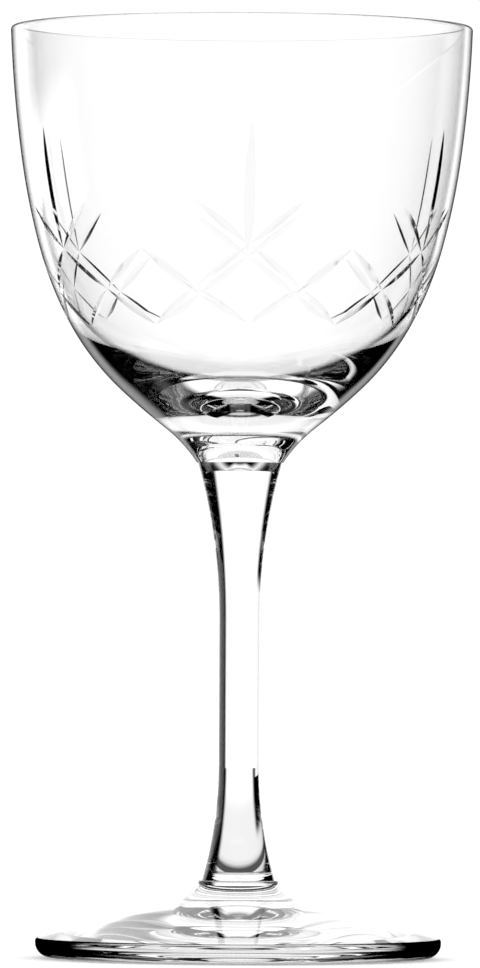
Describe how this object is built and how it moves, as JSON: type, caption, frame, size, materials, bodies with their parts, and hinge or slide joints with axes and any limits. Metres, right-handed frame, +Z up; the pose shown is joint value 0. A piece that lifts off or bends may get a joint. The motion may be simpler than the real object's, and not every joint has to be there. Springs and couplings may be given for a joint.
{
  "type": "nick and nora glass",
  "caption": "Small stemmed cocktail glass: an upright cup with a ground band of splits and diamonds, on a slim drawn stem and a conical foot.",
  "frame": {"origin": "middle of the foot's underside, on the plane that the glass stands on", "axes": "+Z up the stem to the lip, -Y towards the motif that faces front, +X to the right"},
  "size_m": [0.072, 0.072, 0.145],
  "materials": {
    "crystal": "fire-polished clear crystal, ground cuts"
  },
  "bodies": {
    "root": {"bowl": "crystal", "stem": "crystal", "foot": "crystal"}
  },
  "joints": []
}
